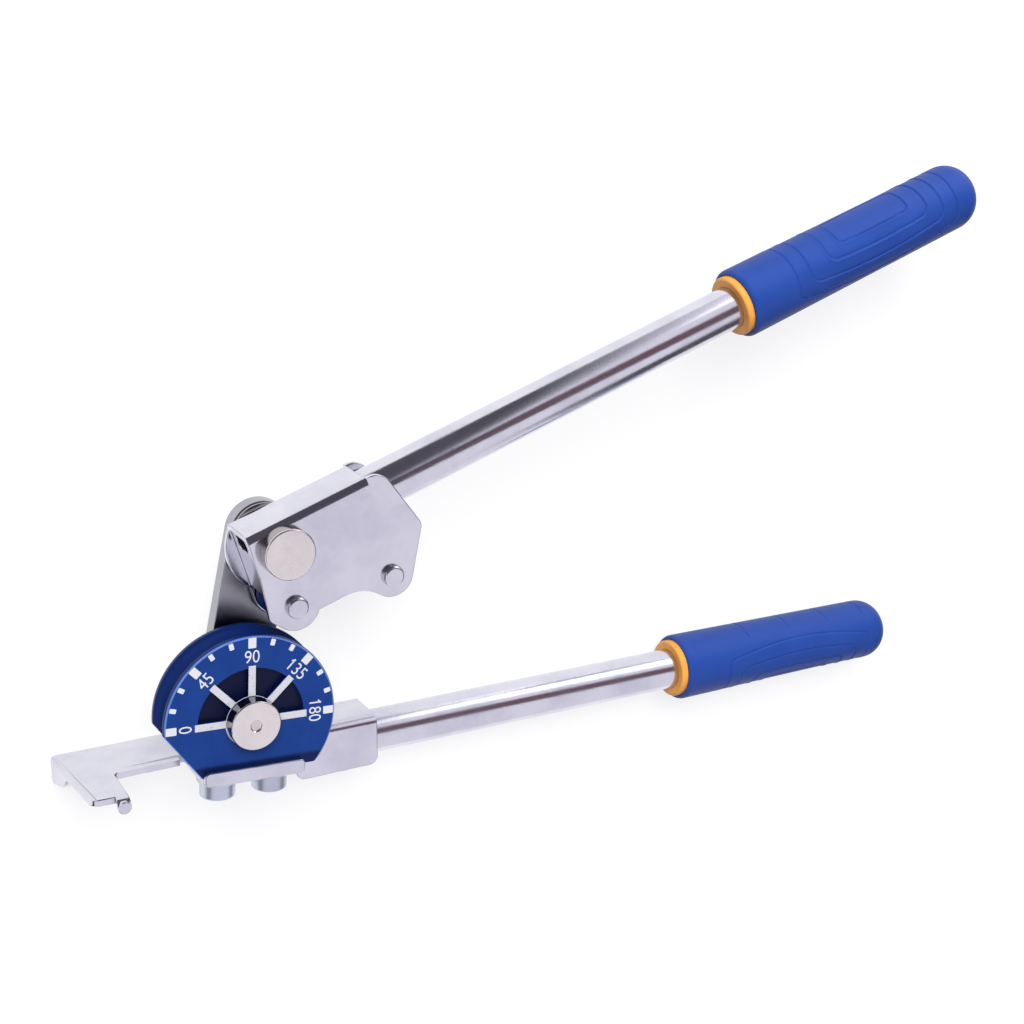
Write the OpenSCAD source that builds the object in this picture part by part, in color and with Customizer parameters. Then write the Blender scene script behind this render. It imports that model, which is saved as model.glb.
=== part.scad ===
// Lever tube bender: a grooved form wheel on a fixed handle, and a lever with two rollers that
// swings round the wheel on a link. It lies on its back on a bench: X runs along the fixed handle,
// Y across the bench and Z along the pivots, so the dial looks up. The origin is the wheel's centre.

/* [Work tube] */
// Outside diameter of the tube that is bent
work_d = 12.7; // [11:0.1:13]
// Radius of the bend along the tube's centre line
bend_r = 38; // [37:0.5:40]

/* [Form wheel] */
// How far the rim stays below the tube's centre line
rim_drop = 1; // [0.5:0.1:2]
// Thickness of the wheel
wheel_t = 18; // [17:0.5:20]
// Turn of the wheel and its cradle on the fixed handle, clockwise from the front
dial_tilt = 3.1; // [0:0.1:4]
// Distance from the wheel's axis down to the flat that it sits on
seat_drop = 22.8; // [22:0.1:24]
// Height below the axis where the bevel on the left starts
bevel_start = 2; // [1:0.5:4]
// Distance from the axis to the foot of the bevel
bevel_foot = 21; // [20:0.5:24]
// Round on the wheel's lower right corner
toe_r = 4; // [2:0.5:6]
// Chamfer on the rim's edges
rim_chamfer = 0.8; // [0.4:0.1:1.2]
// Outer radius of the sunk half ring in the dial
recess_r = 23; // [20:0.5:25]
// Depth of the sunk half ring
recess_depth = 2.5; // [1:0.5:4]
// Width of the ribs across the sunk half ring
rib_w = 3.1; // [2.8:0.1:4]
// Distance from the axis to the outer end of the ribs
rib_reach = 24.2; // [24:0.1:27]
// Height of the ribs above the dial's face
rib_rise = 0.4; // [0.2:0.1:0.8]
// Angle between two ribs
rib_step = 45; // [45:45:90]

/* [Cradle] */
// Sheet thickness of the cradle under the wheel
cradle_t = 3; // [2:0.5:4]
// Reach of the cradle to the left of the axis
cradle_left = 20.5; // [19:0.5:22]
// Reach of the cradle to the right of the axis
cradle_right = 23; // [20:0.5:24]
// Height of the front lip above the seat
lip_rise = 3.3; // [2:0.1:5]
// Round on the lip's corners
lip_corner = 2; // [1:0.5:3]
// Distance of each wheel screw from the middle
screw_x = 11.4; // [10:0.2:12]
// Thread diameter of the wheel screws
screw_d = 8; // [6:0.5:9]
// Diameter of the screw heads
screw_head_d = 15; // [13:0.2:16]
// Height of the screw heads
screw_head_h = 9.3; // [7:0.1:11]
// Diameter of the flange under the screw heads
screw_flange_d = 17.6; // [16.5:0.2:19]
// Thickness of that flange
screw_flange_h = 2.4; // [1.5:0.1:3]
// Depth of the screws in the wheel
screw_depth = 9; // [7:0.5:10]
// Width across the flats of the screws' socket
socket_w = 6; // [5:0.5:7]

/* [Pivots] */
// Shank diameter of both pivot pins
pin_d = 12; // [10:0.5:13]
// Head diameter of both pivot pins
pin_head_d = 21.6; // [20:0.2:22.4]
// Head height of both pivot pins
pin_head_h = 6.5; // [4:0.5:8]
// Chamfer on the pin heads
pin_chamfer = 0.7; // [0.3:0.1:1]
// Diameter of the centre mark in the wheel's pin
centre_mark_d = 5.5; // [3:0.5:7]
// Depth of that mark
centre_mark_h = 0.8; // [0.4:0.1:1.2]
// Diameter of the washers that keep the link off the wheel and off the lever
washer_d = 27; // [24:0.5:29]
// Thickness of the washer between the lever and the link
washer_t = 1.9; // [1:0.1:3]
// Thickness of the snap rings
clip_t = 1.2; // [1:0.1:1.6]
// Outer diameter of the snap rings
clip_d = 18; // [16:0.5:20]
// Depth of the snap ring grooves
clip_groove = 0.6; // [0.4:0.1:0.8]
// Length of the pins past their snap rings
pin_tail = 1.5; // [1:0.1:3]

/* [Link] */
// Distance between the link's two pivots
link_l = 74.2; // [73:0.1:78]
// Half the width of the link
link_half_w = 14; // [13.5:0.5:16]
// Thickness of the link
link_t = 8; // [5:0.5:9]
// Direction of the link from the fixed handle
link_angle = 77.4; // [60:0.1:90]

/* [Lever] */
// Direction of the lever from the fixed handle
lever_angle = 19.4; // [10:0.1:30]
// Sheet thickness of the lever's bracket
lever_t = 2.5; // [2:0.25:3]
// Inner radius of the bends between the bracket's web and flanges
lever_bend_r = 1.2; // [0.5:0.1:2]
// Height of the web's outer face above the lever tube's axis
web_rise = 10.8; // [10:0.1:13]
// Height of the lever tube's axis above the pivot
handle_rise = 1.6; // [0:0.2:3]
// Reach of the bracket in front of the pivot
lever_front = 13; // [12:0.2:15]
// Length of the web
web_l = 55.6; // [48:0.2:58]
// Length of the flanges along their top edge
flange_l = 62.9; // [60:0.2:68]
// Round on the flanges' upper corner
flange_corner = 8; // [4:0.5:10]
// Reach of the flanges behind the rear roller
back_reach = 20.3; // [18:0.1:24]
// Height of the flanges' rear point above the rear roller
back_rise = 15; // [12:0.5:18]
// Round on the flanges' rear point
back_corner = 4; // [2:0.5:6]
// Radius of the ears round the front roller's pin
front_ear_r = 10.5; // [9.5:0.1:11.5]
// Reach of the front flange's cheek in front of the front roller's axis
cheek_reach = 12.5; // [11.6:0.1:13]
// Depth of the cheek's point below that axis
cheek_drop = 0.6; // [0:0.1:1.5]
// Round on the cheek's point
cheek_r = 4; // [2:0.5:5]
// How far the cheek's upper end lies inside the flange
cheek_root = 1; // [0.5:0.1:2]
// Radius of the ears round the rear roller's pin
rear_ear_r = 9.7; // [9:0.1:11]
// Depth of the edge between the ears below the front roller's axis
valley_drop = 6.2; // [4:0.2:8]
// Round where that edge meets the rear ear
valley_r = 18; // [10:0.5:22]
// Reach of the rear flange's round nose in front of the pivot
nose_reach = 19; // [17:0.5:20]
// Radius of that round nose
nose_r = 22; // [20:0.5:24]
// Depth of the round nose's centre below the pivot
nose_drop = 5; // [4:0.5:7]
// Depth of the front wall's foot below the pivot
wall_drop = 16.5; // [12:0.5:17]
// How far the front wall stands behind the flanges' front edge
wall_inset = 0.5; // [0.3:0.1:1]
// Gap between the front wall and the front flange
wall_gap = 1.5; // [0.5:0.1:2.5]
// Length of the slot in the front wall
slot_l = 12.4; // [9:0.2:13]
// Width of that slot
slot_w = 6.4; // [4:0.2:7]
// Height of the slot's middle above the pivot
slot_rise = 6; // [3:0.2:6.2]

/* [Rollers] */
// Radius of the rollers' rims
roller_r = 9.6; // [9.2:0.1:10.4]
// Distance from a roller's axis to the work tube's centre line
roller_pitch = 11.2; // [10.8:0.1:11.6]
// Distance between the two rollers
roller_span = 43.6; // [40:0.2:48]
// Angle between the lever tube and the line through the rollers
roller_cant = 10.3; // [8:0.1:12]
// Diameter of the roller pins
roller_pin_d = 6; // [5:0.2:6.4]
// Diameter of the roller pins' heads
roller_head_d = 9.4; // [8:0.2:10]
// Height of the roller pins' front heads
roller_head_h = 2.8; // [1.6:0.1:3.5]
// Round on the roller pins' front heads
roller_head_r = 1.3; // [0.5:0.1:1.5]
// Height of the roller pins' rear heads
roller_tail_h = 1.4; // [1:0.1:1.8]
// Round on the roller pins' rear heads
roller_tail_r = 0.6; // [0.3:0.1:0.9]
// Thickness of the washers beside the rollers
roller_washer_t = 1; // [0.5:0.1:1.5]
// Diameter of the washers beside the rollers
roller_washer_d = 14; // [12:0.5:18]

/* [Handles] */
// Outside diameter of both handle tubes
tube_d = 20; // [19:0.5:22]
// Wall of the handle tubes
tube_wall = 1.8; // [1.2:0.1:2.5]
// Distance of the fixed handle behind the wheel's middle
handle_back = 34; // [33.5:0.5:38]
// Distance of the fixed handle's axis below the wheel's axis
handle_drop = 36.8; // [36.5:0.1:40]
// Start of the fixed handle's grip, from the wheel's axis
fixed_grip_x = 239.5; // [220:0.5:260]
// Start of the lever's grip, from the lever's pivot
lever_grip_x = 241.5; // [220:0.5:260]
// Start of the lever's tube, from the lever's pivot
lever_tube_x = 14; // [12:0.5:20]

/* [Grips] */
// Length of the fixed handle's grip
fixed_grip_l = 132.5; // [120:0.5:145]
// Length of the lever's grip
lever_grip_l = 142.5; // [130:0.5:150]
// Diameter of each grip
grip_d = 33; // [32:0.2:33.4]
// How much thinner the grip's radius is along its middle
grip_waist = 0.8; // [0.2:0.1:1]
// Length of the grip's full front end
grip_front_l = 24; // [15:0.5:35]
// Length over which the grip narrows and widens
grip_ease_l = 24; // [12:0.5:30]
// Diameter of the hard sleeve inside each grip
sleeve_d = 28.6; // [27:0.2:30]
// How far the sleeve's collar stands out of the grip
collar_l = 3; // [2:0.5:5]
// Round on the collar and on the grip's front edge
collar_r = 1.4; // [0.8:0.1:1.8]
// Round of the grip's end
dome_r = 12; // [8:0.5:15]
// Thickness of the grip's closed end
grip_end_t = 8; // [4:0.5:12]
// Distance of the ring groove from the grip's end
crease_back = 15; // [13:0.5:20]
// Depth of the ring groove
crease_depth = 0.7; // [0.3:0.1:1]

/* [Body channel] */
// Sheet thickness of the channel
channel_t = 3; // [2.5:0.25:3.5]
// Inner radius of the channel's bends
channel_bend_r = 1.5; // [0.5:0.1:2]
// Start of the channel's flanges, from the wheel's axis
box_x0 = 30; // [28:0.5:33]
// End of the channel, from the wheel's axis
box_x1 = 69.5; // [60:0.5:80]
// Depth of the flanges below the handle's axis
flange_drop = 10.6; // [8:0.2:13]
// Round on the flanges' lower corners
box_corner = 4; // [2:0.5:6]
// Reach of the flat arm to the left of the axis
arm_reach = 72; // [68:0.5:76]
// Distance of the arm's front edge behind the wheel's middle, left of the cradle
arm_front = 17.5; // [16:0.5:19]
// Distance from the axis to the hook's inner edge
hook_inner = 51.6; // [48:0.2:54]
// Reach of the hook in front of the wheel's middle
hook_front = 3.9; // [2:0.2:6]
// Width of the hook's front edge
hook_w = 15; // [13:0.5:17]
// Round on the hook's outer corner
hook_corner = 4; // [2:0.5:5]
// Width of the finger at the hook's tip
finger_w = 5.5; // [5:0.5:7]
// Depth of the finger below the arm's upper face
finger_drop = 6.6; // [6:0.2:10]
// Depth of the flange on the arm's left end below the arm's upper face
heel_drop = 11.7; // [8:0.2:14]
// Length of that flange's lower edge
heel_l = 14; // [8:0.5:16]
// How much that edge rises towards the hook
heel_rise = 3.9; // [2:0.1:5]
// Length over which that flange runs out
heel_taper = 5; // [3:0.5:8]
// Round on the upper edge along the arm's left end and hook
fold_r = 2.2; // [1:0.1:2.8]
// Distance of the pressed bead on the arm behind the cradle
bead_inset = 0.2; // [0.1:0.1:1.5]
// Width of the bead
bead_w = 13.2; // [11:0.2:14]
// Height of the bead
bead_h = 0.5; // [0.3:0.1:1.6]
// Left end of the bead, from the axis
bead_left = 47; // [40:1:50]
// Right end of the bead, from the axis
bead_right = 24; // [18:1:28]
// Length over which the bead rises at each end
bead_run = 22; // [12:1:26]

/* [Fits] */
// Radial clearance of everything that turns on a pin
run_fit = 0.08; // [0.05:0.01:0.1]
// Gap between faces that turn past each other
face_gap = 0.1; // [0.05:0.05:0.3]
// Radial clearance of pins, screws and sleeves in their seats
seat_fit = 0.05; // [0.02:0.01:0.1]
// Clearance on each side of a handle tube in its bracket
tube_fit = 0.1; // [0.05:0.05:0.2]
// Gap between the wheel's face and the cradle's lip
lip_gap = 0.3; // [0.1:0.1:0.6]

/* [Hidden] */
$fn = 72;
arc_steps = 8;
slack = 1;
bite = 0.05;
rim_r = bend_r - rim_drop;
groove_r = work_d / 2;
tube_r = tube_d / 2;
pin_r = pin_d / 2;
pin_head_r = pin_head_d / 2;
seat_half = tube_r + tube_fit;

// Heights of the stack along the pivots
face_z = wheel_t / 2;
lever_half = seat_half + lever_t;
link_z1 = -(lever_half + face_gap + washer_t);
link_z0 = link_z1 - link_t;
lever_head_z = lever_half + face_gap;
lip_z0 = face_z + lip_gap;
lip_z1 = lip_z0 + cradle_t;

// Lever's pivot, and the rollers from that pivot along and across the lever
lever_pivot = link_l * [cos(link_angle), sin(link_angle)];
roller_arm = link_l - bend_r - roller_pitch;
front_roller_at = roller_arm * [-sin(roller_cant), -cos(roller_cant)];
rear_roller_at = front_roller_at + roller_span * [cos(roller_cant), -sin(roller_cant)];
lever_top = handle_rise + web_rise;
web_x1 = web_l - lever_front;

// Body channel around the fixed handle
channel_half = seat_half + channel_t;
arm_top = -handle_drop + seat_half + channel_t;
channel_front = -handle_back + channel_half;
channel_rear = -handle_back - channel_half;
flange_foot = -handle_drop - flange_drop;
arm_left = -arm_reach;
hook_left = -hook_inner - hook_w;
heel_turn = atan2(hook_left - arm_left, hook_front - channel_rear);
cradle_edge_x = -cradle_left - cradle_t;

// Outlines

function unit(v) = v / norm(v);

// Points on an arc about c from angle a0 to a1
function arc(c, r, a0, a1) =
    [for (i = [0:arc_steps]) let (a = a0 + (a1 - a0) * i / arc_steps) c + r * [cos(a), sin(a)]];

// Points of a round of radius r at corner b on the way from a to c
function corner_arc(a, b, c, r) =
    let (
        u = unit(a - b),
        w = unit(c - b),
        half = acos(u * w) / 2,
        centre = b + unit(u + w) * r / sin(half),
        start = b + u * r / tan(half) - centre,
        from = atan2(start.y, start.x),
        turn = -sign(cross(u, w)) * (180 - 2 * half)
    )
    arc(centre, r, from, from + turn);

// Outline through points [x, y, round], with each corner rounded
function rounded(pts) =
    let (n = len(pts), at = [for (p = pts) [p.x, p.y]])
    [for (i = [0:n - 1])
        each pts[i][2] == 0
            ? [at[i]]
            : corner_arc(at[(i + n - 1) % n], at[i], at[(i + 1) % n], pts[i][2])];

// Point where a line from p touches a circle, on the circle's left (1) or right (-1) seen from p
function touch(p, c, r, side) =
    let (d = p - c, at = atan2(d.y, d.x) + side * acos(r / norm(d)))
    c + r * [cos(at), sin(at)];

module ring_2d(outer_r, inner_r) {
    difference() {
        circle(outer_r);
        circle(inner_r);
    }
}

// Block with two round upper corners, open-ended below
module round_top_2d(half, top, r, depth) {
    translate([-half, -depth])
        square([2 * half, depth + top - r]);
    translate([r - half, -depth])
        square([2 * (half - r), depth + top]);
    for (side = [-1, 1])
        translate([side * (half - r), top - r])
            circle(r);
}

// Section of a folded channel: web on top, two flanges down to depth
module channel_2d(half_in, wall, bend, top, depth) {
    difference() {
        round_top_2d(half_in + wall, top, bend + wall, depth);
        round_top_2d(half_in, top - wall, bend, depth + slack);
    }
}

// Placing

// Extrudes a section along X: the section's own X becomes -Z
module along_x(x0, x1) {
    translate([x0, 0, 0])
        rotate([0, 90, 0])
            linear_extrude(x1 - x0)
                children();
}

// Extrudes a plan of X and Z downwards from the height top
module sheet_down(top, thickness) {
    translate([0, top, 0])
        rotate([90, 0, 0])
            linear_extrude(thickness)
                children();
}

// Extrudes an outline of X and Y from the height z0 to z1
module layer(z0, z1) {
    translate([0, 0, z0])
        linear_extrude(z1 - z0)
            children();
}

module on_wheel() {
    rotate([0, 0, -dial_tilt])
        children();
}

module on_lever() {
    translate(lever_pivot)
        rotate([0, 0, lever_angle])
            children();
}

module on_fixed_handle() {
    translate([0, -handle_drop, -handle_back])
        children();
}

module on_lever_handle() {
    on_lever()
        translate([0, handle_rise, 0])
            children();
}

module at_screws() {
    on_wheel()
        for (side = [-1, 1])
            translate([side * screw_x, 0, 0])
                children();
}

// Form wheel and its seat

module wheel_section() {
    difference() {
        polygon([
            [pin_r + seat_fit, -face_z],
            [rim_r - rim_chamfer, -face_z],
            [rim_r, rim_chamfer - face_z],
            [rim_r, face_z - rim_chamfer],
            [rim_r - rim_chamfer, face_z],
            [pin_r + seat_fit, face_z]
        ]);
        translate([bend_r, 0])
            circle(groove_r);
    }
}

// What is cut off the round wheel: the seat below, the bevel on the left and the rounded toe
module wheel_offcut() {
    far = rim_r + slack;
    toe_y = toe_r - seat_drop;
    toe_x = sqrt(pow(rim_r - toe_r, 2) - pow(toe_y, 2));
    translate([-far, -far - seat_drop])
        square([2 * far, far]);
    polygon([
        [-bevel_foot, -seat_drop],
        [-rim_r, -bevel_start],
        [-far, -bevel_start],
        [-far, -far],
        [-bevel_foot, -far]
    ]);
    polygon(concat(
        arc([toe_x, toe_y], toe_r, -90, atan2(toe_y, toe_x)),
        [[far, toe_y], [far, -far], [toe_x, -far]]
    ));
}

module dial_recess() {
    difference() {
        rotate_extrude(angle = 180)
            translate([pin_head_r + face_gap, face_z - recess_depth])
                square([recess_r - pin_head_r - face_gap, recess_depth + slack]);
        dial_ribs(0, face_z - recess_depth - slack, face_z + 2 * slack);
    }
}

module dial_ribs(r0, z0, z1) {
    for (a = [0:rib_step:180])
        rotate([0, 0, a])
            translate([r0, -rib_w / 2, z0])
                cube([rib_reach - r0, rib_w, z1 - z0]);
}

module form_wheel() {
    color("mediumblue")
        difference() {
            on_wheel() {
                difference() {
                    rotate_extrude()
                        wheel_section();
                    layer(-wheel_t, wheel_t)
                        wheel_offcut();
                    dial_recess();
                }
                dial_ribs(pin_head_r + 2 * face_gap, face_z - rib_rise, face_z + rib_rise);
            }
            at_screws()
                translate([0, -seat_drop + screw_depth + slack, 0])
                    rotate([90, 0, 0])
                        cylinder(r = screw_d / 2 + seat_fit, h = screw_depth + 2 * slack);
        }
}

module wheel_cradle() {
    wide = cradle_left + cradle_right;
    tall = lip_rise + cradle_t;
    under = -seat_drop - cradle_t;
    color("silver")
        difference() {
            on_wheel() {
                translate([-cradle_left, under, channel_front])
                    cube([wide, cradle_t, lip_z0 - channel_front]);
                layer(lip_z0, lip_z1)
                    translate([-cradle_left, under])
                        polygon(rounded([
                            [0, 0, lip_corner],
                            [wide, 0, lip_corner],
                            [wide, tall, lip_corner],
                            [0, tall, lip_corner]
                        ]));
            }
            at_screws()
                translate([0, -seat_drop + slack, 0])
                    rotate([90, 0, 0])
                        cylinder(r = screw_d / 2 + seat_fit, h = cradle_t + 2 * slack);
        }
}

module wheel_screws() {
    head_r = screw_head_d / 2;
    length = screw_depth + cradle_t;
    color("gainsboro")
        at_screws()
            translate([0, -seat_drop + screw_depth, 0])
                rotate([90, 0, 0])
                    difference() {
                        rotate_extrude()
                            polygon(rounded([
                                [0, 0, 0],
                                [screw_d / 2, 0, 0],
                                [screw_d / 2, length, 0],
                                [screw_flange_d / 2, length, 0],
                                [screw_flange_d / 2, length + screw_flange_h, screw_flange_h / 4],
                                [head_r, length + screw_flange_h, 0],
                                [head_r, length + screw_head_h, 1],
                                [0, length + screw_head_h, 0]
                            ]));
                        translate([0, 0, length + screw_head_h / 2])
                            cylinder(d = socket_w * 2 / sqrt(3), h = screw_head_h, $fn = 6);
                    }
}

// Pivots

// Pin with a head above seat_z, a snap ring groove below clip_z and a tail past it
module headed_pin(seat_z, clip_z) {
    groove_z = clip_z - clip_t - face_gap;
    end_z = groove_z - pin_tail;
    head_z = seat_z + pin_head_h;
    rotate_extrude()
        polygon([
            [0, end_z],
            [pin_r - pin_chamfer, end_z],
            [pin_r, end_z + pin_chamfer],
            [pin_r, groove_z],
            [pin_r - clip_groove, groove_z],
            [pin_r - clip_groove, clip_z],
            [pin_r, clip_z],
            [pin_r, seat_z],
            [pin_head_r, seat_z],
            [pin_head_r, head_z - pin_chamfer],
            [pin_head_r - pin_chamfer, head_z],
            [0, head_z]
        ]);
}

module snap_ring(clip_z) {
    mouth = pin_d - 2 * clip_groove;
    translate([0, 0, clip_z - clip_t])
        linear_extrude(clip_t)
            difference() {
                ring_2d(clip_d / 2, pin_r - clip_groove + seat_fit);
                translate([0, -mouth / 2])
                    square([clip_d, mouth]);
            }
}

module washer(outer_r, hole_r, z0, z1) {
    layer(z0, z1)
        ring_2d(outer_r, hole_r);
}

module pivot_pin() {
    color("gainsboro")
        difference() {
            headed_pin(face_z, link_z0 - face_gap);
            translate([0, 0, face_z + pin_head_h - centre_mark_h])
                cylinder(
                    d1 = centre_mark_d - 2 * centre_mark_h,
                    d2 = centre_mark_d + 2 * slack,
                    h = centre_mark_h + slack
                );
        }
}

module pivot_spacer() {
    color("silver")
        washer(washer_d / 2, pin_r + seat_fit, link_z1 + face_gap, -face_z);
}

module pivot_clip() {
    color("dimgray")
        snap_ring(link_z0 - face_gap);
}

module link_plate() {
    color("lightgray")
        difference() {
            rotate([0, 0, link_angle])
                layer(link_z0, link_z1) {
                    circle(link_half_w);
                    translate([link_l, 0])
                        rotate([0, 0, 180])
                            circle(link_half_w);
                    translate([0, -link_half_w])
                        square([link_l, 2 * link_half_w]);
                }
            layer(link_z0 - slack, link_z1 + slack) {
                circle(pin_r + run_fit);
                translate(lever_pivot)
                    circle(pin_r + seat_fit);
            }
        }
}

module lever_pin() {
    color("gainsboro")
        translate(lever_pivot)
            headed_pin(lever_head_z, link_z0);
}

module lever_washer() {
    color("silver")
        translate(lever_pivot)
            washer(washer_d / 2, pin_r + seat_fit, link_z1, link_z1 + washer_t);
}

module lever_clip() {
    color("dimgray")
        translate(lever_pivot)
            snap_ring(link_z0);
}

// Lever

// Side view of a flange: a shield with two ears round the roller pins
module flange_2d() {
    valley = front_roller_at.y - valley_drop;
    rear_point = rear_roller_at + [back_reach, back_rise];
    nose = [-lever_front, lever_top];
    fillet_y = valley - valley_r;
    fillet_x = rear_roller_at.x
        - sqrt(pow(rear_ear_r + valley_r, 2) - pow(rear_roller_at.y - fillet_y, 2));
    polygon(rounded([
        [nose.x, nose.y, 0],
        [flange_l - lever_front, lever_top, flange_corner],
        [rear_point.x, rear_point.y, back_corner],
        concat(touch(rear_point, rear_roller_at, rear_ear_r, -1), 0),
        concat(rear_roller_at, 0),
        [rear_roller_at.x, valley, 0],
        [front_roller_at.x, valley, 0],
        concat(front_roller_at, 0),
        concat(touch(nose, front_roller_at, front_ear_r - bite, 1), 0)
    ]));
    translate(front_roller_at)
        circle(front_ear_r);
    translate(rear_roller_at)
        circle(rear_ear_r);
    difference() {
        polygon([
            [fillet_x, valley + slack],
            [rear_roller_at.x, valley + slack],
            rear_roller_at,
            [fillet_x, fillet_y]
        ]);
        translate([fillet_x, fillet_y])
            circle(valley_r);
    }
}

// Cheek that widens the front flange beside its front ear
module cheek_2d() {
    cheek = front_roller_at - [cheek_reach, cheek_drop];
    polygon(rounded([
        [cheek_root - lever_front, lever_top / 2, 0],
        concat(front_roller_at, 0),
        concat(touch(cheek, front_roller_at, front_ear_r - bite, 1), 0),
        concat(cheek, cheek_r)
    ]));
}

// Round nose of the rear flange
module nose_2d() {
    intersection() {
        translate([nose_r - nose_reach, -nose_drop])
            circle(nose_r);
        translate([-2 * nose_r, front_roller_at.y])
            square([2 * nose_r - pin_r, lever_top - front_roller_at.y]);
    }
}

// Sheet folded across the bracket's front, along the flanges' front edge
module front_wall() {
    nose = [-lever_front, lever_top];
    edge = touch(nose, front_roller_at, front_ear_r - bite, 1) - nose;
    top = nose + edge * lever_t / 2 / abs(edge.y) + [wall_inset, 0];
    foot = nose + edge * (lever_top + wall_drop) / abs(edge.y) + [wall_inset, 0];
    end_r = slot_w / 2;
    end_z = (slot_l - slot_w) / 2;
    difference() {
        layer(-seat_half - lever_t / 2, seat_half - wall_gap)
            polygon([top, top + [lever_t, 0], foot + [lever_t, 0], foot]);
        along_x(-2 * lever_front, 0)
            translate([0, slot_rise]) {
                translate([-end_z, -end_r])
                    square([2 * end_z, slot_w]);
                for (side = [-1, 1])
                    translate([side * end_z, 0])
                        circle(end_r);
            }
    }
}

module lever_bracket() {
    depth = roller_arm + roller_span;
    color("silver")
        on_lever()
            difference() {
                union() {
                    front_wall();
                    intersection() {
                        union() {
                            layer(-lever_half, lever_half)
                                flange_2d();
                            layer(0, lever_half)
                                cheek_2d();
                            layer(-lever_half, 0)
                                nose_2d();
                        }
                        along_x(-depth, web_x1)
                            channel_2d(seat_half, lever_t, lever_bend_r, lever_top, depth);
                    }
                    intersection() {
                        for (side = [-1, 1])
                            layer(side * lever_half - (side + 1) / 2 * lever_t,
                                  side * lever_half + (1 - side) / 2 * lever_t)
                                flange_2d();
                        translate([web_x1 - bite, -2 * depth, -lever_half])
                            cube([depth, 3 * depth, 2 * lever_half]);
                    }
                }
                layer(-lever_half - slack, lever_half + slack) {
                    circle(pin_r + run_fit);
                    for (at = [front_roller_at, rear_roller_at])
                        translate(at)
                            circle(roller_pin_d / 2 + seat_fit);
                }
            }
}

module roller_pin(at) {
    shank_r = roller_pin_d / 2;
    head_r = roller_head_d / 2;
    head_z = lever_half + roller_head_h;
    tail_z = -lever_half - roller_tail_h;
    color("gainsboro")
        on_lever()
            translate(at)
                rotate_extrude()
                    polygon(rounded([
                        [0, tail_z, 0],
                        [head_r, tail_z, roller_tail_r],
                        [head_r, -lever_half, 0],
                        [shank_r, -lever_half, 0],
                        [shank_r, lever_half, 0],
                        [head_r, lever_half, 0],
                        [head_r, head_z, roller_head_r],
                        [0, head_z, 0]
                    ]));
}

module roller_washers(at) {
    color("silver")
        on_lever()
            translate(at)
                for (z0 = [-seat_half, seat_half - roller_washer_t])
                    washer(roller_washer_d / 2, roller_pin_d / 2 + seat_fit, z0, z0 + roller_washer_t);
}

module roller(at) {
    half = seat_half - roller_washer_t - face_gap;
    bore_r = roller_pin_d / 2 + run_fit;
    color("midnightblue")
        on_lever()
            translate(at)
                rotate_extrude()
                    difference() {
                        translate([bore_r, -half])
                            square([roller_r - bore_r, 2 * half]);
                        translate([roller_pitch, 0])
                            circle(groove_r);
                    }
}

module front_roller_pin() {
    roller_pin(front_roller_at);
}

module rear_roller_pin() {
    roller_pin(rear_roller_at);
}

module front_washers() {
    roller_washers(front_roller_at);
}

module rear_washers() {
    roller_washers(rear_roller_at);
}

module front_roller() {
    roller(front_roller_at);
}

module rear_roller() {
    roller(rear_roller_at);
}

// Handles

module handle_tube(x0, grip_x, grip_l) {
    color("gainsboro")
        along_x(x0, grip_x + grip_l - grip_end_t)
            ring_2d(tube_r, tube_r - tube_wall);
}

module grip_sleeve(grip_x, grip_l) {
    inner_r = tube_r + seat_fit;
    color("orange")
        translate([grip_x, 0, 0])
            rotate([0, 90, 0])
                rotate_extrude()
                    polygon(rounded([
                        [inner_r, -collar_l, 0],
                        [sleeve_d / 2, -collar_l, collar_r],
                        [sleeve_d / 2, grip_l - grip_end_t, 0],
                        [inner_r, grip_l - grip_end_t, 0]
                    ]));
}

module grip(grip_x, grip_l) {
    grip_r = grip_d / 2;
    waist_r = grip_r - grip_waist;
    bore_r = sleeve_d / 2 + seat_fit;
    crease_at = grip_l - crease_back;
    color("royalblue")
        translate([grip_x, 0, 0])
            rotate([0, 90, 0])
                rotate_extrude()
                    polygon(rounded([
                        [bore_r, 0, 0],
                        [grip_r, 0, collar_r],
                        [grip_r, grip_front_l, 0],
                        [waist_r, grip_front_l + grip_ease_l, 0],
                        [waist_r, crease_at - grip_ease_l, 0],
                        [grip_r, crease_at - crease_depth, 0],
                        [grip_r - crease_depth, crease_at, 0],
                        [grip_r, crease_at + crease_depth, 0],
                        [grip_r, grip_l, dome_r],
                        [0, grip_l, 0],
                        [0, grip_l - grip_end_t, 0],
                        [bore_r, grip_l - grip_end_t, 0]
                    ]));
}

module lower_tube() {
    on_fixed_handle()
        handle_tube(box_x0 + slack, fixed_grip_x, fixed_grip_l);
}

module lower_sleeve() {
    on_fixed_handle()
        grip_sleeve(fixed_grip_x, fixed_grip_l);
}

module lower_grip() {
    on_fixed_handle()
        grip(fixed_grip_x, fixed_grip_l);
}

// The tube's crown is milled off where it lies under the web
module upper_tube() {
    crown = lever_top - lever_t - tube_fit;
    difference() {
        on_lever_handle()
            handle_tube(lever_tube_x, lever_grip_x, lever_grip_l);
        on_lever()
            translate([lever_tube_x - slack, crown, -lever_half])
                cube([web_x1 - lever_tube_x + slack + tube_fit, tube_d, 2 * lever_half]);
    }
}

module upper_sleeve() {
    on_lever_handle()
        grip_sleeve(lever_grip_x, lever_grip_l);
}

module upper_grip() {
    on_lever_handle()
        grip(lever_grip_x, lever_grip_l);
}

// Body channel

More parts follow.
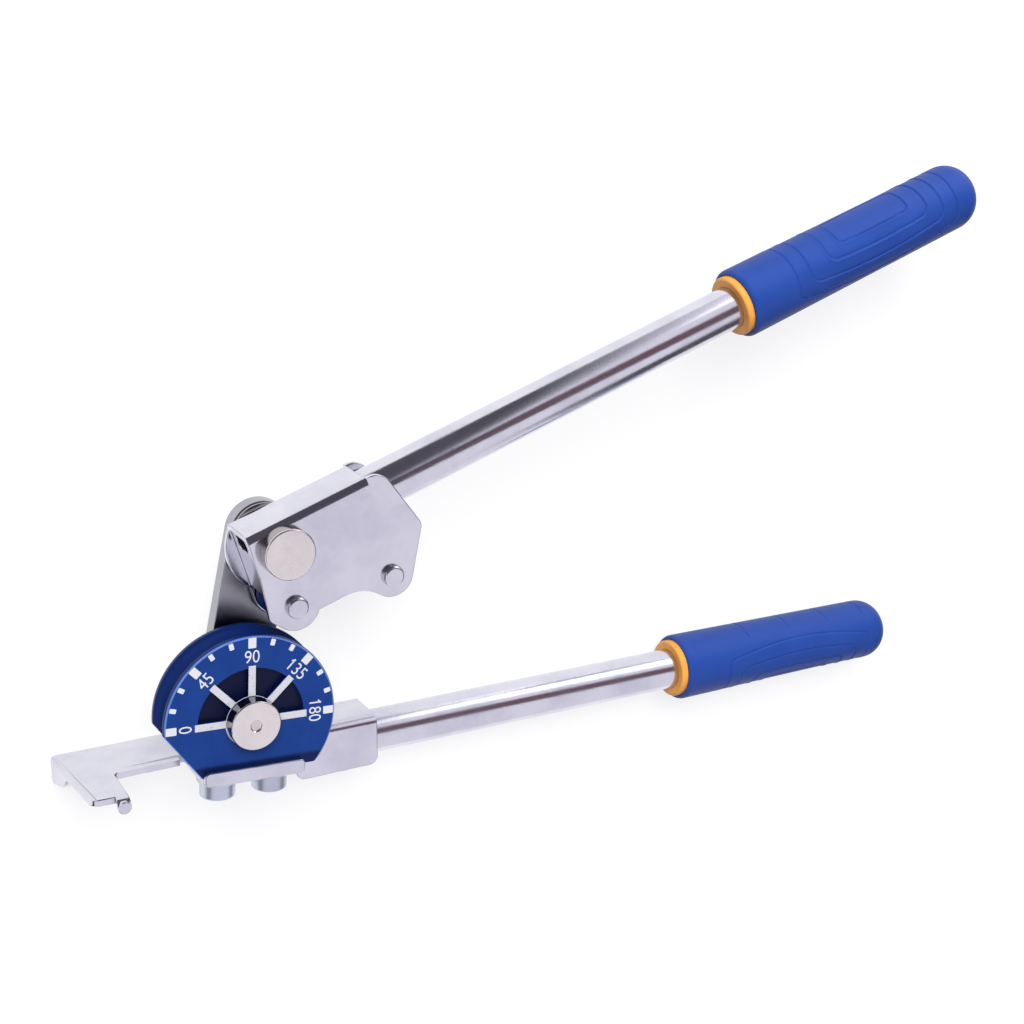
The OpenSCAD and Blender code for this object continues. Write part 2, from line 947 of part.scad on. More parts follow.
// Plan of the flat arm: X along the handle, Y standing for Z
module arm_plan() {
    polygon(rounded([
        [box_x0 + box_corner, channel_rear + channel_bend_r + channel_t, 0],
        [box_x0, channel_rear, 0],
        [arm_left, channel_rear, channel_t],
        [hook_left, hook_front, hook_corner],
        [-hook_inner, hook_front, 0],
        [-hook_inner, -arm_front, channel_bend_r],
        [cradle_edge_x, -arm_front, 0],
        [cradle_edge_x, channel_front, 0],
        [box_x0, channel_front, 0],
        [box_x0 + box_corner, channel_front - channel_bend_r - channel_t, 0]
    ]));
}

// Finger at the hook's tip: a quarter bend, then a short leg with a round end
module finger() {
    bend = channel_bend_r + channel_t;
    bend_y = arm_top - bend;
    leg_y = arm_top - finger_drop + finger_w / 2;
    along_x(-hook_inner - finger_w, -hook_inner)
        translate([-hook_front, bend_y])
            intersection() {
                ring_2d(bend, channel_bend_r);
                translate([-bend, 0])
                    square(bend);
            }
    layer(hook_front + channel_bend_r, hook_front + bend)
        translate([-hook_inner - finger_w / 2, 0]) {
            translate([-finger_w / 2, min(leg_y, bend_y)])
                square([finger_w, max(bend_y - leg_y, 0) + channel_t / 2]);
            translate([0, leg_y])
                circle(finger_w / 2);
        }
}

// Flange bent down along the arm's left end, running out towards the hook
module heel() {
    translate([arm_left, arm_top, channel_rear])
        rotate([0, heel_turn, 0])
            rotate([0, -90, 0])
                translate([0, 0, -channel_t])
                    linear_extrude(channel_t)
                        polygon(rounded([
                            [channel_t, -channel_t / 2, 0],
                            [channel_t, -heel_drop, channel_t / 2],
                            [channel_t + heel_l, heel_rise - heel_drop, channel_t / 2],
                            [channel_t + heel_l + heel_taper, -channel_t, 0],
                            [channel_t + heel_l + heel_taper, -channel_t / 2, 0]
                        ]));
}

// What is cut off the arm's left edge to round it
module fold_offcut() {
    long = norm([hook_left - arm_left, hook_front - channel_rear]);
    translate([arm_left, arm_top, channel_rear])
        rotate([0, heel_turn, 0])
            layer(-slack, long + slack)
                polygon(concat(
                    arc([fold_r, -fold_r], fold_r, 180, 90),
                    [[fold_r, slack], [-slack, slack], [-slack, -fold_r]]
                ));
}

// Pressed bead: a flat ridge with sloping sides that sinks into the arm at both ends
module bead() {
    half = bead_w / 2;
    root = channel_t / 2;
    crest = arm_top + bead_h;
    intersection() {
        translate([0, arm_top, channel_front - bead_inset - half])
            along_x(-bead_left, bead_right)
                polygon([
                    [-half, -root],
                    [half, -root],
                    [half, 0],
                    [half - bead_h, bead_h],
                    [bead_h - half, bead_h],
                    [-half, 0]
                ]);
        layer(channel_rear, channel_front)
            polygon([
                [-bead_left, arm_top - root],
                [bead_right, arm_top - root],
                [bead_right, arm_top],
                [bead_right - bead_run, crest],
                [bead_run - bead_left, crest],
                [-bead_left, arm_top]
            ]);
    }
}

module body_channel() {
    color("silver") {
        intersection() {
            on_fixed_handle()
                along_x(box_x0, box_x1)
                    channel_2d(seat_half, channel_t, channel_bend_r, arm_top + handle_drop, flange_drop);
            layer(channel_rear - slack, channel_front + slack)
                polygon(rounded([
                    [box_x0, arm_top, 0],
                    [box_x0, flange_foot, box_corner],
                    [box_x1, flange_foot, box_corner],
                    [box_x1, arm_top, 0]
                ]));
        }
        difference() {
            union() {
                sheet_down(arm_top, channel_t)
                    arm_plan();
                heel();
            }
            fold_offcut();
        }
        finger();
        bead();
    }
}

body_channel();
wheel_cradle();
form_wheel();
wheel_screws();
pivot_pin();
pivot_spacer();
pivot_clip();
lower_tube();
lower_sleeve();
lower_grip();
link_plate();
lever_pin();
lever_washer();
lever_clip();
lever_bracket();
front_roller_pin();
rear_roller_pin();
front_washers();
rear_washers();
front_roller();
rear_roller();
upper_tube();
upper_sleeve();
upper_grip();
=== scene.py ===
"""A hand lever tube bender, dressed for the camera.

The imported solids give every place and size. The metal pieces and the sleeves are
copies of their solids with broken edges, the grips are turned and moulded anew, and
the wheel gets its dial.
"""

import logging
import math
from dataclasses import dataclass
from enum import Enum
from typing import Sequence, Union

import bmesh
import bpy
from bmesh.types import BMesh, BMFace, BMVert
from bpy.types import Material, Mesh, Node, NodeSocket, Object, World
from mathutils import Matrix, Vector
from mathutils.bvhtree import BVHTree
from mathutils.kdtree import KDTree

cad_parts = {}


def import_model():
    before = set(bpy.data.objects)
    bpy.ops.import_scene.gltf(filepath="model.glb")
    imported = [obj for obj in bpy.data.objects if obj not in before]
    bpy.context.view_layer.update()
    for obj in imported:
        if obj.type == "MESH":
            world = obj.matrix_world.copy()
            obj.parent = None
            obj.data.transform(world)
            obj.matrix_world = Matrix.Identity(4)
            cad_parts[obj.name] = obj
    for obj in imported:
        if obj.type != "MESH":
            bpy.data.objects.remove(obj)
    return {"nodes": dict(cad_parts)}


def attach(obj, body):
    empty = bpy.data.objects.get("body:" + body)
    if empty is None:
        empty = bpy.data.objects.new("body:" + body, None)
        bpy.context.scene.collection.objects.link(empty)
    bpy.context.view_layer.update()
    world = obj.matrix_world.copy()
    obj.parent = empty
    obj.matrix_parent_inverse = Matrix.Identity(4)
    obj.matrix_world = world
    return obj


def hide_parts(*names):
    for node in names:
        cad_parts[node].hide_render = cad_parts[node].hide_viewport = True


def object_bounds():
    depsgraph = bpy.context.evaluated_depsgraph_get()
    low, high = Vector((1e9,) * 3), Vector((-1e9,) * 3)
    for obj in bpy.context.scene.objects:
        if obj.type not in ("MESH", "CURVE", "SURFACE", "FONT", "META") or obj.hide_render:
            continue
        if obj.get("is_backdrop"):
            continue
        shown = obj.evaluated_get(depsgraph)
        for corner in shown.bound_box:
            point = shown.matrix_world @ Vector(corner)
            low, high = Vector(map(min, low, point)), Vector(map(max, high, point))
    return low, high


MM = 0.001
EDGE = "edge"
Color = tuple[float, float, float]
Point = tuple[float, float, float]
Pair = tuple[float, float]
Span = tuple[float, float]
Value = Union["Sock", float]
log = logging.getLogger("tube_bender")


class Body(Enum):
    """The bodies that pieces ride on."""

    BASE = "base"
    LINK = "link"
    LEVER = "lever"
    ROLLER_FRONT = "roller_front"
    ROLLER_REAR = "roller_rear"


class Slot(Enum):
    """The record's material slots."""

    SHEET = "plated_sheet"
    TUBE = "plated_tube"
    STEEL = "bare_steel"
    SPRING = "spring_steel"
    ALLOY = "blue_alloy"
    PLASTIC = "orange_plastic"
    RUBBER = "blue_rubber"


class Edge(Enum):
    """How wide an edge is broken, in millimetres."""

    SHEARED = 0.5
    TURNED = 0.25
    FINE = 0.12


class Sock:
    """A shader socket that takes part in Python sums."""

    def __init__(self, tree: "Tree", socket: NodeSocket) -> None:
        """Keeps the socket and the tree that its Math nodes join."""
        self.tree = tree
        self.socket = socket

    def _math(self, operation: str, first: Value, second: Value) -> "Sock":
        """Adds one Math node.

        Args:
            operation: The node's operation.
            first: Its first value or link.
            second: Its second value or link.

        Returns:
            The node's result.
        """
        made = self.tree.node("ShaderNodeMath", {"operation": operation}, {0: first, 1: second})
        return self.tree.out(made, 0)

    def __add__(self, other: Value) -> "Sock":
        """Adds."""
        return self._math("ADD", self, other)

    def __radd__(self, other: Value) -> "Sock":
        """Adds to a number."""
        return self._math("ADD", other, self)

    def __sub__(self, other: Value) -> "Sock":
        """Subtracts."""
        return self._math("SUBTRACT", self, other)

    def __rsub__(self, other: Value) -> "Sock":
        """Subtracts from a number."""
        return self._math("SUBTRACT", other, self)

    def __mul__(self, other: Value) -> "Sock":
        """Multiplies."""
        return self._math("MULTIPLY", self, other)

    def __rmul__(self, other: Value) -> "Sock":
        """Multiplies a number."""
        return self._math("MULTIPLY", other, self)

    def __pow__(self, other: Value) -> "Sock":
        """Raises to a power."""
        return self._math("POWER", self, other)

    def rise(self, low: float, high: float) -> "Sock":
        """Runs smoothly from 0 at one value to 1 at another.

        Args:
            low: The value that gives 0.
            high: The value that gives 1.

        Returns:
            The eased and clamped result.
        """
        made = self.tree.node(
            "ShaderNodeMapRange",
            {"interpolation_type": "SMOOTHSTEP"},
            {"Value": self, "From Min": low, "From Max": high},
        )
        return self.tree.out(made, 0)

    def over(self, level: float, span: Span) -> "Sock":
        """Runs from 0 to 1 as a length passes a span about a level, both in millimetres."""
        return self.rise((level + span[0]) * MM, (level + span[1]) * MM)


class Tree:
    """The node tree of one finish, or of the world.

    Attributes:
        fine_share: How strongly the finer layers of a noise show.
    """

    fine_share = 0.6

    def __init__(self, name: str, world: World | None = None) -> None:
        """Starts an empty tree.

        Args:
            name: The name of the new material that takes it.
            world: The world that takes it instead, if any.
        """
        self.owner: Material | World = world or bpy.data.materials.new(name)
        self.owner.use_nodes = True
        self.nodes = self.owner.node_tree.nodes
        self.links = self.owner.node_tree.links
        self.nodes.clear()

    def node(self, kind: str, settings: dict | None = None, inputs: dict | None = None) -> Node:
        """Adds any node.

        Args:
            kind: The node's type.
            settings: Its properties, set first.
            inputs: The values or links of its sockets, by name or place.

        Returns:
            The new node.
        """
        made = self.nodes.new(kind)
        for name, value in (settings or {}).items():
            setattr(made, name, value)
        for key, value in (inputs or {}).items():
            if isinstance(value, Sock):
                self.links.new(value.socket, made.inputs[key])
            else:
                made.inputs[key].default_value = value
        return made

    def out(self, node: Node, key: str | int = 0) -> Sock:
        """Wraps one of a node's outputs."""
        return Sock(self, node.outputs[key])

    def own(self) -> Sock:
        """Gives the object's own coordinates."""
        return self.out(self.node("ShaderNodeTexCoord"), "Object")

    def axes(self) -> list[Sock]:
        """Gives the object's own coordinates one by one."""
        parts = self.node("ShaderNodeSeparateXYZ", {}, {"Vector": self.own()})
        return [self.out(parts, axis) for axis in range(3)]

    def mapped(self, where: Sock, change: str, amount: Point) -> Sock:
        """Moves, turns or stretches coordinates by the named input of a Mapping node."""
        return self.out(self.node("ShaderNodeMapping", {}, {"Vector": where, change: amount}))

    def noise(self, scale: float, detail: float = 3.0, where: Sock | None = None) -> Sock:
        """Gives a soft random pattern.

        Args:
            scale: How many spots there are in a metre.
            detail: How many finer layers it has.
            where: The coordinates, or none for the object's own.

        Returns:
            A value about 0.5.
        """
        made = self.node(
            "ShaderNodeTexNoise",
            {"noise_dimensions": "3D"},
            {
                "Vector": where or self.own(), "Scale": scale, "Detail": detail,
                "Roughness": self.fine_share,
            },
        )
        return self.out(made, 0)

    def edge(self) -> Sock:
        """Tells a broken edge, 1, from the rest, 0."""
        return self.out(self.node("ShaderNodeAttribute", {"attribute_name": EDGE}), "Fac")

    def mix(self, factor: Value, first: Sock | Color, second: Sock | Color) -> Sock:
        """Mixes two colours.

        Args:
            factor: 0 for the first, 1 for the second.
            first: A colour.
            second: A colour.

        Returns:
            The mixed colour.
        """
        ends = [c if isinstance(c, Sock) else (*c, 1.0) for c in (first, second)]
        made = self.node("ShaderNodeMix", {"data_type": "RGBA"}, {0: factor, 6: ends[0], 7: ends[1]})
        return self.out(made, 2)

    def bump(self, height: Sock, depth: float) -> Sock:
        """Turns a height into a bent normal.

        Args:
            height: The height, about 0 to 1.
            depth: What a height of 1 measures, in millimetres.

        Returns:
            The normal.
        """
        made = self.node("ShaderNodeBump", {}, {"Height": height, "Distance": depth * MM, "Strength": 1.0})
        return self.out(made)

    def surface(self, inputs: dict) -> Material:
        """Ends the tree with a Principled shader.

        Args:
            inputs: The values or links of its sockets.

        Returns:
            The material.
        """
        shader = self.node("ShaderNodeBsdfPrincipled", {}, inputs)
        self.node("ShaderNodeOutputMaterial", {}, {"Surface": self.out(shader)})
        return self.owner


@dataclass(frozen=True)
class PlatedFinish:
    """Bright plate on folded sheet or drawn tube, a little cloudy, finely pitted, with painted dark
    reflection and scuffs on its edges.
    """

    name: str
    color: Color = (0.7, 0.695, 0.775)
    shade: Color = (0.605, 0.6, 0.685)
    # The edge colour: partly scuffed plate, partly painted dark reflection along the broken edges.
    wear_and_reflection: Color = (0.16, 0.145, 0.17)
    wear_and_reflection_share: float = 0.35
    wear_and_reflection_scale: float = 120.0
    wear_and_reflection_span: Span = (0.36, 0.6)
    gloss: float = 0.14
    haze: float = 0.12
    haze_scale: float = 260.0
    cloud_scale: float = 38.0
    cloud_span: Span = (0.35, 0.72)
    pit_scale: float = 900.0
    pit_depth: float = 0.02

    def material(self) -> Material:
        """Builds the finish.

        Returns:
            The material.
        """
        tree = Tree(self.name)
        cloud = tree.noise(self.cloud_scale, detail=4.0).rise(*self.cloud_span)
        grain = tree.noise(self.pit_scale, detail=4.0)
        # Painted dark reflection along the broken edges, in patches, mixed with scuffed plate.
        wear_and_reflection_mask = tree.edge() * self.wear_and_reflection_share * tree.noise(self.wear_and_reflection_scale, detail=2.0).rise(*self.wear_and_reflection_span)
        return tree.surface({
            "Base Color": tree.mix(wear_and_reflection_mask, tree.mix(cloud, self.color, self.shade), self.wear_and_reflection),
            "Metallic": 1.0,
            "Roughness": self.gloss + self.haze * tree.noise(self.haze_scale) * cloud,
            "Normal": tree.bump(grain, self.pit_depth),
        })


@dataclass(frozen=True)
class TurnedFinish:
    """Lathe-turned steel with fine rings on its face, and a smoother side painted darker for the dark
    reflections it shows.
    """

    name: str
    centre: Pair
    face_z: float
    color: Color = (0.82, 0.77, 0.75)
    shade: Color = (0.77, 0.72, 0.71)
    # Painted dark reflection: the pin's side is coloured darker than its face.
    side: Color = (0.36, 0.33, 0.34)
    chamfer: float = 0.7
    side_fade: float = 0.3
    gloss: float = 0.22
    side_gloss: float = 0.12
    mottle: float = 0.1
    cloud_scale: float = 120.0
    cloud_span: Span = (0.3, 0.75)
    ring_scale: float = 2600.0
    ring_depth: float = 0.004
    ring_wander: float = 2.0

    def material(self) -> Material:
        """Builds the finish.

        Returns:
            The material.
        """
        tree = Tree(self.name)
        here = tree.mapped(tree.own(), "Location", (-self.centre[0] * MM, -self.centre[1] * MM, 0.0))
        ring = tree.out(tree.node(
            "ShaderNodeTexWave",
            {"wave_type": "RINGS", "rings_direction": "Z"},
            {"Vector": here, "Scale": self.ring_scale, "Distortion": self.ring_wander, "Detail": 2.0},
        ), 1)
        cloud = tree.noise(self.cloud_scale)
        # Mask of the face; below it the side takes the painted dark reflection colour.
        face = tree.axes()[2].over(self.face_z - self.chamfer, (-self.side_fade, 0.0))
        top = tree.mix(cloud.rise(*self.cloud_span), self.color, self.shade)
        return tree.surface({
            "Base Color": tree.mix(face, self.side, top),
            "Metallic": 1.0,
            "Roughness": self.side_gloss + face * (self.gloss - self.side_gloss) + self.mottle * cloud,
            "Normal": tree.bump(ring * face, self.ring_depth),
        })


@dataclass(frozen=True)
class BrushedFinish:
    """Flat steel with a fine brushed grain along one direction."""

    name: str
    turn: float = 0.0
    color: Color = (0.4, 0.4, 0.44)
    shade: Color = (0.35, 0.35, 0.39)
    gloss: float = 0.27
    mottle: float = 0.08
    cloud_scale: float = 60.0
    cloud_span: Span = (0.3, 0.75)
    grain_scale: Point = (60.0, 4000.0, 4000.0)
    grain_depth: float = 0.0006

    def material(self) -> Material:
        """Builds the finish.

        Returns:
            The material.
        """
        tree = Tree(self.name)
        turned = tree.mapped(tree.own(), "Rotation", (0.0, 0.0, -math.radians(self.turn)))
        grain = tree.noise(1.0, where=tree.mapped(turned, "Scale", self.grain_scale))
        return tree.surface({
            "Base Color": tree.mix(
                tree.noise(self.cloud_scale).rise(*self.cloud_span), self.color, self.shade,
            ),
            "Metallic": 1.0,
            "Roughness": self.gloss + self.mottle * grain,
            "Normal": tree.bump(grain, self.grain_depth),
        })


@dataclass(frozen=True)
class AnodisedFinish:
    """Satin coloured alloy with a blasted grain."""

    name: str
    color: Color = (0.007, 0.04, 0.215)
    shade: Color = (0.006, 0.034, 0.185)
    metal: float = 0.18
    shine: float = 0.22
    gloss: float = 0.36
    mottle: float = 0.14
    cloud_scale: float = 90.0
    cloud_span: Span = (0.3, 0.7)
    grain_scale: float = 1500.0
    grain_depth: float = 0.01

    def tint(self, tree: Tree) -> Sock:
        """Gives the colour all over, a little cloudy."""
        cloud = tree.noise(self.cloud_scale, detail=4.0).rise(*self.cloud_span)
        return tree.mix(cloud, self.color, self.shade)

    def material(self) -> Material:
        """Builds the finish.

        Returns:
            The material.
        """
        tree = Tree(self.name)
        grain = tree.noise(self.grain_scale, detail=2.0)
        return tree.surface({
            "Base Color": self.tint(tree),
            "Metallic": self.metal,
            "Roughness": self.gloss + self.mottle * grain,
            "Normal": tree.bump(grain, self.grain_depth),
            "Specular IOR Level": self.shine,
        })


@dataclass(frozen=True)
class DialFinish(AnodisedFinish):
    """The wheel's alloy: painted shade in the sunk half dial, on its side and groove and above the lip,
    bare on the raised ribs, painted highlights on the rim and bevel edges.

    A span of lengths is in millimetres, measured from the level or radius that it belongs to.
    """

    face_z: float = 9.0
    tilt: float = 3.1
    recess_r: float = 23.0
    recess_edge: Span = (-0.3, 0.3)
    # Painted shade in the sunk half dial.
    recess_shade_color: Color = (0.0015, 0.004, 0.024)
    sunk: Span = (-0.9, -0.2)
    front: Span = (0.0, 1.0)
    side: Span = (1.0, 2.0)
    # Painted shade on the wheel's side and in its groove.
    groove_shade_color: Color = (0.003, 0.016, 0.1)
    lip_top: float = -19.5
    # Painted shadow and dark reflection of the lip on the face just above it.
    lip_shadow_span: Span = (0.6, 2.4)
    lip_shadow_share: float = 0.85
    lip_shadow_wander: float = 0.8
    lip_shadow_scale: float = 350.0
    lip_shadow_color: Color = (0.002, 0.006, 0.035)
    hub_r: float = 11.1
    hub_edge: Span = (0.0, 0.2)
    hub_top: Span = (-0.3, -0.1)
    raised: Span = (0.12, 0.28)
    rib_color: Color = (0.54, 0.54, 0.59)
    wear_and_reflection_scale: float = 700.0
    wear_and_reflection_span: Span = (0.6, 0.72)
    rib_rub: float = 0.5
    # Painted highlight on the rim chamfers and the bevel edge.
    edge_highlight_break: float = 0.6
    edge_highlight_color: Color = (0.1, 0.19, 0.52)
    rim_r: float = 37.0
    rim_chamfer: float = 0.8
    rim_edge: Span = (-0.1, 0.0)
    back_highlight: float = 0.6
    bevel_turn: float = 214.5
    bevel_at: float = 30.55
    bevel_w: float = 0.45

    def tint(self, tree: Tree) -> Sock:
        """Gives the colour with the dial's painted shade, painted highlights and bare ribs.

        Args:
            tree: The finish's node tree.

        Returns:
            The colour.
        """
        x, y, z = tree.axes()
        radius = (x * x + y * y) ** 0.5
        turn, tilt = math.radians(self.bevel_turn), math.radians(self.tilt)
        across = math.cos(turn) * x + math.sin(turn) * y
        # Uneven edge of the painted lip shadow.
        uneven = self.lip_shadow_wander * MM * (tree.noise(self.lip_shadow_scale) - 0.5)
        above = math.sin(tilt) * x + math.cos(tilt) * y + uneven
        chamfer_z = self.face_z - self.rim_chamfer
        near_face = z.over(chamfer_z, (0.0, self.rim_chamfer / 2))
        near_back = 1.0 - z.over(-self.face_z, (0.0, self.rim_chamfer))
        inside = 1.0 - radius.over(self.recess_r, self.recess_edge)
        # Painted shade: the sunk half dial is coloured near black.
        sunk = inside * (1.0 - z.over(self.face_z, self.sunk)) * z.over(0.0, self.front)
        # Painted shade: the wheel's side and groove, off the front face, are coloured darker.
        side = (1.0 - near_face) * radius.over(self.recess_r, self.side)
        # Painted shadow and dark reflection of the lip on the face just above it.
        lip_shadow = near_face * (1.0 - above.over(self.lip_top, self.lip_shadow_span))
        rim = radius.over(self.rim_r - self.rim_chamfer, self.rim_edge)
        bevel = across.over(self.bevel_at, (-self.bevel_w, -self.bevel_w / 2))
        # Painted highlight on the front rim chamfer, the bevel edge and the back rim chamfer.
        wear_and_reflection = near_face * (1.0 - (1.0 - rim) * (1.0 - bevel)) + self.back_highlight * near_back * rim
        # Random patches that break up the painted highlight and thin the ribs' bare metal.
        wear_and_reflection_mask = tree.noise(self.wear_and_reflection_scale).rise(*self.wear_and_reflection_span)
        raised = z.over(self.face_z, self.raised)
        hub = (1.0 - radius.over(self.hub_r, self.hub_edge)) * z.over(self.face_z, self.hub_top)
        # Mixes in painted shade on the side and in the recess, the painted lip shadow, the painted edge
        # highlight, then the bare ribs and hub.
        color = tree.mix(side, super().tint(tree), self.groove_shade_color)
        color = tree.mix(sunk, color, self.recess_shade_color)
        color = tree.mix(self.lip_shadow_share * lip_shadow, color, self.lip_shadow_color)
        color = tree.mix(wear_and_reflection * (1.0 - self.edge_highlight_break * wear_and_reflection_mask), color, self.edge_highlight_color)
        color = tree.mix(raised * (1.0 - self.rib_rub * wear_and_reflection_mask), color, self.rib_color)
        return tree.mix(hub, color, self.rib_color)


@dataclass(frozen=True)
class RubberFinish:
    """Matte moulded rubber with a fine grain and paler high spots from use."""

    name: str
    color: Color = (0.011, 0.045, 0.245)
    wear_and_reflection: Color = (0.015, 0.053, 0.275)
    shine: float = 0.3
    gloss: float = 0.42
    mottle: float = 0.16
    cloud_scale: float = 55.0
    cloud_span: Span = (0.2, 0.9)
    grain_scale: float = 1900.0
    grain_depth: float = 0.025

    def material(self) -> Material:
        """Builds the finish.

        Returns:
            The material.
        """
        tree = Tree(self.name)
        cloud = tree.noise(self.cloud_scale, detail=4.0)
        grain = tree.noise(self.grain_scale, detail=2.0)
        return tree.surface({
            "Base Color": tree.mix(cloud.rise(*self.cloud_span), self.color, self.wear_and_reflection),
            "Roughness": self.gloss + self.mottle * cloud,
            "Normal": tree.bump(grain, self.grain_depth),
            "Specular IOR Level": self.shine,
        })


@dataclass(frozen=True)
class PlasticFinish:
    """Hard moulded plastic with a faint mottle."""

    name: str
    color: Color = (0.80, 0.345, 0.06)
    shade: Color = (0.74, 0.3, 0.045)
    gloss: float = 0.34
    mottle: float = 0.12
    cloud_scale: float = 150.0
    cloud_span: Span = (0.3, 0.75)
    grain_scale: float = 1400.0
    grain_depth: float = 0.008

    def material(self) -> Material:
        """Builds the finish.

        Returns:
            The material.
        """
        tree = Tree(self.name)
        cloud = tree.noise(self.cloud_scale)
        return tree.surface({
            "Base Color": tree.mix(cloud.rise(*self.cloud_span), self.color, self.shade),
            "Roughness": self.gloss + self.mottle * cloud,
            "Normal": tree.bump(tree.noise(self.grain_scale), self.grain_depth),
        })


@dataclass(frozen=True)
class PaintFinish:
    """White print on the dial, a little thin in places."""

    name: str
    color: Color = (0.57, 0.57, 0.61)
    thin: Color = (0.43, 0.45, 0.57)
    gloss: float = 0.42
    mottle: float = 0.15
    patch_scale: float = 900.0
    patch_span: Span = (0.58, 0.78)

    def material(self) -> Material:
        """Builds the finish.

        Returns:
            The material.
        """
        tree = Tree(self.name)
        patch = tree.noise(self.patch_scale)
        return tree.surface({
            "Base Color": tree.mix(patch.rise(*self.patch_span), self.color, self.thin),
            "Roughness": self.gloss + self.mottle * patch,
        })


@dataclass(frozen=True)
class PaperFinish:
    """Plain matte paper for the floor."""

    name: str
    color: Color = (0.23, 0.23, 0.232)
    shade: Color = (0.22, 0.22, 0.222)
    glow: Color = (0.76, 0.76, 0.765)
    gloss: float = 0.75
    mottle: float = 0.1
    cloud_scale: float = 1.6

    def material(self) -> Material:
        """Builds the finish.

        Returns:
            The material.
        """
        tree = Tree(self.name)
        cloud = tree.noise(self.cloud_scale, detail=2.0)
        return tree.surface({
            "Base Color": tree.mix(cloud, self.color, self.shade),
            "Roughness": self.gloss + self.mottle * cloud,
            "Emission Color": (*self.glow, 1.0),
            "Emission Strength": 1.0,
        })


@dataclass(frozen=True)
class FlagFinish:
    """A cloth that the bright metal mirrors, graded along X from one tone to another."""

    name: str
    near: Color
    far: Color
    grade: Span

    def material(self) -> Material:
        """Builds the finish.

        Returns:
            The material.
        """
        tree = Tree(self.name)
        return tree.surface({
            "Base Color": (0.0, 0.0, 0.0, 1.0),
            "Specular IOR Level": 0.0,
            "Emission Color": tree.mix(tree.axes()[0].rise(*self.grade), self.near, self.far),
            "Emission Strength": 1.0,
        })


